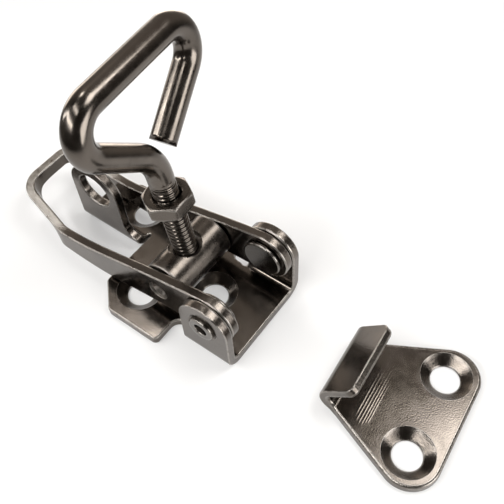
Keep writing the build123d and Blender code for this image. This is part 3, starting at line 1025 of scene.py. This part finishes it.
# ---- nickel plate --------------------------------------------
WARM = (0.128, 0.112, 0.098)
# paler metal on the edges: partly real rubbing, partly a painted edge highlight
RUBBED_AND_HIGHLIGHT = (0.66, 0.63, 0.59, 1)
EDGE_WEAR_AND_HIGHLIGHT = 0.42             # most of the rubbed colour, partly a painted highlight, on a sharp edge
CLOUD_SCALE = 95.0           # noise cells per metre, as in the next three
PATCH_SCALE = 420.0
TEAR_SCALE = 1500.0
GRAIN_SCALE = 5200.0
TEAR_HEIGHT = 0.05           # millimetres


def node_maker(tree):
    """Short call that adds a shader node, sets its values and links its inputs."""
    def make(kind, inputs=None, **settings):
        node = tree.nodes.new("ShaderNode" + kind)
        for key, value in settings.items():
            setattr(node, key, value)
        for key, value in (inputs or {}).items():
            if hasattr(value, "is_output"):
                tree.links.new(value, node.inputs[key])
            else:
                node.inputs[key].default_value = value
        return node
    return make


def mixed(make, part, a, b):
    """Colour between a and b."""
    return make("Mix", {"Factor": part, "A": a, "B": b}, data_type="RGBA").outputs["Result"]


def nickel_tone(make, tone, where, patches, worn_and_highlit):
    """(colour, wear and highlight): darker clouds and stains, and a paler metal on the edges, partly real
    rubbing and partly a painted edge highlight.
    """
    dark = [c * 0.82 for c in tone] + [1]
    light = [min(c * 1.10, 1.0) for c in tone] + [1]
    stain = [c * 0.55 for c in tone] + [1]
    broad = make("TexNoise", {"Vector": where, "Scale": CLOUD_SCALE, "Detail": 3.0})
    clouds = make("MapRange", {"Value": broad.outputs["Fac"], "From Min": 0.32, "From Max": 0.68})
    base = mixed(make, clouds.outputs[0], dark, light)
    speck = make("MapRange", {"Value": patches, "From Min": 0.60, "From Max": 0.78, "To Max": 0.22})
    stained = mixed(make, speck.outputs[0], base, stain)
    uneven = make(
        "MapRange",
        {"Value": patches, "From Min": 0.3, "From Max": 0.6, "To Min": 0.4 * EDGE_WEAR_AND_HIGHLIGHT, "To Max": EDGE_WEAR_AND_HIGHLIGHT},
    )
    wear_and_highlight = make("Math", {0: worn_and_highlit, 1: uneven.outputs[0]}, operation="MULTIPLY", use_clamp=True)
    return mixed(make, wear_and_highlight.outputs[0], stained, RUBBED_AND_HIGHLIGHT), wear_and_highlight.outputs[0]


def nickel_roughness(make, rough, patches, rim, wear_and_highlight):
    """Cloudy roughness, with more of it on the stamped edges and where they are rubbed pale and carry the
    painted highlight.
    """
    cloudy = make(
        "MapRange",
        {"Value": patches, "From Min": 0.3, "From Max": 0.7, "To Min": rough * 0.75, "To Max": rough * 1.3},
    )
    torn = make("Math", {0: rim, 1: 0.05, 2: cloudy.outputs[0]}, operation="MULTIPLY_ADD")
    matt = make("Math", {0: wear_and_highlight, 1: 0.3, 2: torn.outputs[0]}, operation="MULTIPLY_ADD")
    return matt.outputs[0]


def bump(make, height, distance, under=None):
    """Normal with a relief so many millimetres high, on top of the normal under it."""
    inputs = {"Height": height, "Strength": 1.0, "Distance": distance * MM}
    if under is not None:
        inputs["Normal"] = under
    return make("Bump", inputs).outputs[0]


def nickel_relief(make, where, rim, peel, peel_size, grain, stretch):
    """Normal with orange peel, fine grain, and tear marks on the stamped edges."""
    cells = 1.0 / (peel_size * MM)
    orange = make("TexNoise", {"Vector": where, "Scale": cells, "Detail": 0.6, "Roughness": 0.4})
    stretched = make("Mapping", {"Vector": where, "Scale": stretch})
    fine = make("TexNoise", {"Vector": stretched.outputs[0], "Scale": GRAIN_SCALE, "Detail": 2.0})
    upright = make("Mapping", {"Vector": where, "Scale": (1.0, 1.0, 0.35)})
    tear = make(
        "TexNoise",
        {"Vector": upright.outputs[0], "Scale": TEAR_SCALE, "Detail": 3.0, "Roughness": 0.7},
    )
    torn = make("Math", {0: tear.outputs["Fac"], 1: rim}, operation="MULTIPLY")
    peeled = bump(make, orange.outputs["Fac"], peel)
    grained = bump(make, fine.outputs["Fac"], grain * 0.01, peeled)
    return bump(make, torn.outputs[0], TEAR_HEIGHT, grained)


def nickel(name, tone, rough, peel, peel_size=0.42, grain=0.1, stretch=(1, 1, 1)):
    """Nickel plate on steel: uneven tone, orange peel, fine grain, and torn edges, rubbed pale partly as real
    wear and partly as a painted highlight.

    peel is the height of the orange peel and peel_size its spacing, in millimetres. grain is the
    height of the fine grain in hundredths of a millimetre, and stretch scales it along each axis.
    """
    material = bpy.data.materials.new(name)
    material.use_nodes = True
    tree = material.node_tree
    make = node_maker(tree)
    where = make("TexCoord").outputs["Object"]
    rim = make("Attribute", attribute_name="rim").outputs["Fac"]
    worn_and_highlit = make("Attribute", attribute_name="worn_and_highlit").outputs["Fac"]
    patchy = make("TexNoise", {"Vector": where, "Scale": PATCH_SCALE, "Detail": 4.0, "Roughness": 0.6})
    patches = patchy.outputs["Fac"]
    colour, wear_and_highlight = nickel_tone(make, tone, where, patches, worn_and_highlit)
    roughness = nickel_roughness(make, rough, patches, rim, wear_and_highlight)
    relief = nickel_relief(make, where, rim, peel, peel_size, grain, stretch)
    shader = tree.nodes["Principled BSDF"]
    shader.inputs["Metallic"].default_value = 1.0
    tree.links.new(colour, shader.inputs["Base Color"])
    tree.links.new(roughness, shader.inputs["Roughness"])
    tree.links.new(relief, shader.inputs["Normal"])
    return material


def painted_shade(part):
    """The warm nickel's tone, darkened to a part of itself as painted shade."""
    return [part * c for c in WARM]


looks = {
    "base_plate_stamping": nickel("sheet_nickel_plate", WARM, 0.17, 0.006),
    "keeper_stamping": nickel("keeper_nickel_plate", WARM, 0.17, 0.010, peel_size=0.36),
    "lever_bow": nickel("lever_nickel_plate", WARM, 0.17, 0.008),
    # rivets, barrel and nut: darker copies of the same nickel tone, as painted shade
    "near_rivet_turned": nickel("rivet_nickel_plate", painted_shade(0.62), 0.17, 0.004),
    "barrel_turned": nickel(
        "turned_nickel_plate", painted_shade(0.85), 0.26, 0.003, grain=0.4, stretch=(1.0, 0.06, 1.0)
    ),
    "hook_bolt_rod": nickel("rod_nickel_plate", WARM, 0.20, 0.004),
    "lock_nut_hex": nickel("nut_nickel_plate", painted_shade(0.85), 0.24, 0.008, grain=0.5),
}
looks["far_rivet_turned"] = looks["near_rivet_turned"]
for name, material in looks.items():
    bpy.data.objects[name].data.materials.clear()
    bpy.data.objects[name].data.materials.append(material)
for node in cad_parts.values():
    node.data.materials.clear()
    node.data.materials.append(looks["base_plate_stamping"])


# ---- the floor's paper ---------------------------------------
PAPER_TONE = (0.56, 0.56, 0.56, 1)
PAPER_LIFT = 0.32
FADE_FROM = 0.11             # metres from the middle, where the paper starts to give way to the world
FADE_TO = 0.26


def paper():
    """Paper that camera and mirror-like rays see lifted, and that fades out round the part."""
    material = bpy.data.materials.new("paper")
    material.use_nodes = True
    tree = material.node_tree
    make = node_maker(tree)
    tree.nodes.remove(tree.nodes["Principled BSDF"])
    diffuse = make("BsdfDiffuse", {"Color": PAPER_TONE})
    path = make("LightPath").outputs
    seen = make("Math", {0: path["Is Camera Ray"], 1: path["Is Glossy Ray"]}, operation="ADD")
    seen = make("Math", {0: seen.outputs[0], 1: path["Is Transmission Ray"]}, operation="ADD", use_clamp=True)
    lift = make("Math", {0: seen.outputs[0], 1: PAPER_LIFT}, operation="MULTIPLY")
    glow = make("Emission", {"Color": (1, 1, 1, 1), "Strength": lift.outputs[0]})
    lifted = make("AddShader", {0: diffuse.outputs[0], 1: glow.outputs[0]})
    spot = make("TexCoord").outputs["Object"]
    away = make("VectorMath", {0: spot}, operation="LENGTH").outputs["Value"]
    fade = make(
        "MapRange",
        {"Value": away, "From Min": FADE_FROM, "From Max": FADE_TO, "To Min": 1.0, "To Max": 0.0},
        interpolation_type="SMOOTHSTEP",
    )
    clear = make("BsdfTransparent")
    faded = make("MixShader", {0: fade.outputs[0], 1: clear.outputs[0], 2: lifted.outputs[0]})
    tree.links.new(faded.outputs[0], tree.nodes["Material Output"].inputs["Surface"])
    return material


floor.data.materials.append(paper())


# ---- room ----------------------------------------------------
# dark and warm with a few soft lighter patches; the camera itself sees white
ROOM_TONE = (1.0, 0.90, 0.80, 1)
ROOM_LEVEL = 0.07
# azimuth, elevation, and angles from there at which a patch starts to fall off and ends; strength
ROOM_PATCHES = (
    (110, 25, 25, 70, 0.36),
    (148, 50, 5, 16, 0.25),
    (200, 5, 10, 50, 0.10),
    (131, -7, 8, 21, 5.0),
    (164, -4, 6, 17, 5.0),
)


def toward(azimuth, elevation):
    """Unit vector in a direction given in degrees."""
    a = math.radians(azimuth)
    e = math.radians(elevation)
    return Vector((math.cos(e) * math.cos(a), math.cos(e) * math.sin(a), math.sin(e)))


def room_level(make):
    """Strength of the room's light in each direction."""
    direction = make("TexCoord").outputs["Generated"]
    level = ROOM_LEVEL
    for azimuth, elevation, inner, outer, strength in ROOM_PATCHES:
        aim = toward(azimuth, elevation)
        dot = make("VectorMath", {0: direction, 1: aim}, operation="DOT_PRODUCT")
        patch = make(
            "MapRange",
            {
                "Value": dot.outputs["Value"],
                "From Min": math.cos(math.radians(outer)),
                "From Max": math.cos(math.radians(inner)),
                "To Max": strength,
            },
            interpolation_type="SMOOTHSTEP",
        )
        level = make("Math", {0: patch.outputs[0], 1: level}, operation="ADD").outputs[0]
    return level


def studio():
    """World of the scene: the room for every ray but the camera's own, which see white."""
    world = bpy.data.worlds.new("studio")
    world.use_nodes = True
    tree = world.node_tree
    make = node_maker(tree)
    room = make("Background", {"Color": ROOM_TONE, "Strength": room_level(make)})
    white = make("Background", {"Color": (1, 1, 1, 1), "Strength": 1.0})
    path = make("LightPath")
    shown = make("MixShader", {0: path.outputs["Is Camera Ray"], 1: room.outputs[0], 2: white.outputs[0]})
    tree.links.new(shown.outputs[0], tree.nodes["World Output"].inputs["Surface"])
    return world


bpy.context.scene.world = studio()

# ---- lamps ---------------------------------------------------
LAMP_TONE = (1.0, 0.99, 0.975)
# name, azimuth, elevation, distance in metres, width and height in degrees, roll, radiance
LAMPS = (
    ("right_box", 2, 7, 0.9, 38, 30, 0, 6.2),
    ("back_box", 46, 61.6, 0.297, 26, 22, 0, 9.0),
    ("left_strip", 207, 25, 0.9, 7, 40, -30, 10.0),
    ("low_strip", 252, 40, 0.9, 50, 11, 0, 12.0),
    ("high_strip", 262, 70.5, 0.9, 42, 8, 0, 7.5),
    ("rear_box", 153, 64, 0.9, 8, 10, 0, 14.0),
)
middle = Vector((0.005, 0.0, 0.02))
for name, azimuth, elevation, far, wide, tall, roll, radiance in LAMPS:
    data = bpy.data.lights.new(name, "AREA")
    data.shape = "RECTANGLE"
    data.size = 2 * far * math.tan(math.radians(wide / 2))
    data.size_y = 2 * far * math.tan(math.radians(tall / 2))
    data.energy = radiance * math.pi * data.size * data.size_y
    data.color = LAMP_TONE
    lamp = placed(name, data)
    lamp.location = middle + toward(azimuth, elevation) * far
    facing = (middle - lamp.location).to_track_quat("-Z", "Y")
    lamp.rotation_euler = (facing @ Quaternion((0, 0, 1), math.radians(roll))).to_euler()
    lamp.visible_camera = False
